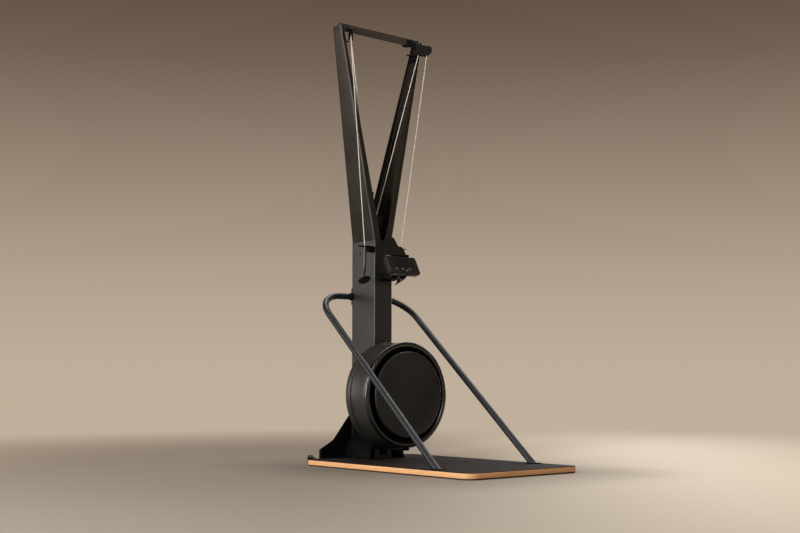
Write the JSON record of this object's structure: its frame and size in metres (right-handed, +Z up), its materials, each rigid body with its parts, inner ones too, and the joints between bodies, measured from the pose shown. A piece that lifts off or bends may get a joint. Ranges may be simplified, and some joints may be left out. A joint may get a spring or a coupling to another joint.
{
  "type": "ski trainer",
  "caption": "Standing ski trainer: a column with two raised arms, pull cords over pulleys, an air drum, a tilting console and a timber platform.",
  "frame": {"origin": "centre of the platform's underside, on the floor", "axes": "+X the user's right, +Y away from the user, towards the transport wheels, +Z up"},
  "size_m": [0.7, 1.2379, 2.219],
  "materials": {
    "underlay": "black foam rubber, matt",
    "birch": "birch plywood, clear coat, plies showing at the edge",
    "anti_slip": "black fine-textured sheet",
    "black_steel": "black powder coat",
    "satin_black": "satin black powder coat",
    "wheel_rubber": "black solid rubber",
    "black_plastic": "black moulded plastic",
    "textured_plastic": "dark grey fine-textured plastic",
    "aluminium": "turned aluminium",
    "cord": "braided cream cord",
    "handle_plastic": "glossy black plastic",
    "tube_grey": "dark grey satin powder coat",
    "bright_steel": "bright steel",
    "drum_plastic": "satin charcoal",
    "bezel_plastic": "semi-gloss charcoal",
    "cover_plastic": "smooth black",
    "screen_glass": "dark display window",
    "button_plastic": "grey rubbery keys"
  },
  "bodies": {
    "machine": {"platform_underlay": "underlay", "platform_board": "birch", "platform_top_sheet": "anti_slip", "wheel_fork_left": "black_steel", "wheel_fork_right": "black_steel", "column": "satin_black", "arm_left": "satin_black", "arm_right": "satin_black", "arm_block_left": "black_plastic", "arm_block_right": "black_plastic", "junction_plate": "black_steel", "junction_sleeve": "satin_black", "crossbar": "satin_black", "pulley_housing_left": "textured_plastic", "pulley_housing_right": "textured_plastic", "head_mount_left": "black_plastic", "head_mount_right": "black_plastic", "inner_cord_left": "cord", "inner_cord_right": "cord", "outer_cord_left": "cord", "outer_cord_right": "cord", "handle_rest_left": "black_steel", "handle_rest_right": "black_steel", "stabiliser_tube_left": "tube_grey", "stabiliser_tube_right": "tube_grey", "stabiliser_joiner": "bright_steel", "stabiliser_foot_left": "black_steel", "stabiliser_foot_right": "black_steel", "rear_crossmember": "black_steel", "side_bracket_left": "black_steel", "side_bracket_right": "black_steel", "drum_housing": "drum_plastic", "drum_bezel": "bezel_plastic", "intake_grille": "black_plastic", "drum_cover": "cover_plastic", "drum_strut": "black_steel", "front_bearing": "bright_steel", "rear_bearing": "bright_steel", "bearing_carrier": "black_steel", "console_bracket": "black_steel", "console_arm": "black_steel", "stabiliser_clamp": "black_steel"},
    "wheel_left": {"transport_wheel_left": "wheel_rubber"},
    "wheel_right": {"transport_wheel_right": "wheel_rubber"},
    "pulley_left": {"pulley_wheel_left": "aluminium"},
    "pulley_right": {"pulley_wheel_right": "aluminium"},
    "flywheel": {"flywheel_fan": "aluminium", "fan_shaft": "bright_steel"},
    "spool_left": {"cord_spool_left": "textured_plastic"},
    "spool_right": {"cord_spool_right": "textured_plastic"},
    "handle_left": {"handle_left": "handle_plastic"},
    "handle_right": {"handle_right": "handle_plastic"},
    "console": {"console_case": "textured_plastic", "console_screen": "screen_glass", "console_pin": "bright_steel", "phone_holder": "textured_plastic"},
    "button_1": {"console_button_1": "button_plastic"},
    "button_2": {"console_button_2": "button_plastic"},
    "button_3": {"console_button_3": "button_plastic"},
    "button_4": {"console_button_4": "button_plastic"}
  },
  "joints": [
    {"name": "wheel_left_spin", "type": "hinge", "parent": "machine", "child": "wheel_left", "pos_m": [-0.287, 0.6209, 0.026], "axis": [1, 0, 0], "continuous": true},
    {"name": "wheel_right_spin", "type": "hinge", "parent": "machine", "child": "wheel_right", "pos_m": [0.287, 0.6209, 0.026], "axis": [1, 0, 0], "continuous": true},
    {"name": "handle_left_pull", "type": "slide", "parent": "machine", "child": "handle_left", "axis": [-0.162, -0.923, -0.349], "range_m": [0, 0.845], "stiffness_N_per_m": 8, "springref_m": -0.75, "deforming": ["outer_cord_left"]},
    {"name": "handle_right_pull", "type": "slide", "parent": "machine", "child": "handle_right", "axis": [0.162, -0.923, -0.349], "range_m": [0, 0.845], "stiffness_N_per_m": 8, "springref_m": -0.75, "deforming": ["outer_cord_right"]},
    {"name": "pulley_left_spin", "type": "hinge", "parent": "machine", "child": "pulley_left", "pos_m": [-0.24219, 0.36612, 2.145], "axis": [0.788, -0.6157, 0], "continuous": true},
    {"name": "pulley_right_spin", "type": "hinge", "parent": "machine", "child": "pulley_right", "pos_m": [0.24219, 0.36612, 2.145], "axis": [0.788, 0.6157, 0], "continuous": true},
    {"name": "spool_left_spin", "type": "hinge", "parent": "machine", "child": "spool_left", "pos_m": [0, 0.472, 0.348], "axis": [0, -1, 0], "continuous": true},
    {"name": "spool_right_spin", "type": "hinge", "parent": "machine", "child": "spool_right", "pos_m": [0, 0.522, 0.348], "axis": [0, -1, 0], "continuous": true},
    {"name": "flywheel_spin", "type": "hinge", "parent": "machine", "child": "flywheel", "pos_m": [0, 0.4, 0.348], "axis": [0, -1, 0], "continuous": true},
    {"name": "console_tilt", "type": "hinge", "parent": "machine", "child": "console", "pos_m": [0, 0.26216, 0.93352], "axis": [1, 0, 0], "range_deg": [-10, 20]},
    {"name": "button_1_press", "type": "slide", "parent": "console", "child": "button_1", "axis": [0, 0.8862, -0.4633], "range_m": [0, 0.0015], "stiffness_N_per_m": 400, "springref_m": -0.001},
    {"name": "button_2_press", "type": "slide", "parent": "console", "child": "button_2", "axis": [0, 0.8862, -0.4633], "range_m": [0, 0.0015], "stiffness_N_per_m": 400, "springref_m": -0.001},
    {"name": "button_3_press", "type": "slide", "parent": "console", "child": "button_3", "axis": [0, 0.8862, -0.4633], "range_m": [0, 0.0015], "stiffness_N_per_m": 400, "springref_m": -0.001},
    {"name": "button_4_press", "type": "slide", "parent": "console", "child": "button_4", "axis": [0, 0.8862, -0.4633], "range_m": [0, 0.0015], "stiffness_N_per_m": 400, "springref_m": -0.001}
  ],
  "couplings": [
    {"joint": "pulley_left_spin", "follows": "handle_left_pull", "rad_per_m": 25.6},
    {"joint": "spool_left_spin", "follows": "handle_left_pull", "rad_per_m": 15.97},
    {"joint": "pulley_right_spin", "follows": "handle_right_pull", "rad_per_m": 25.6},
    {"joint": "spool_right_spin", "follows": "handle_right_pull", "rad_per_m": 15.97}
  ]
}
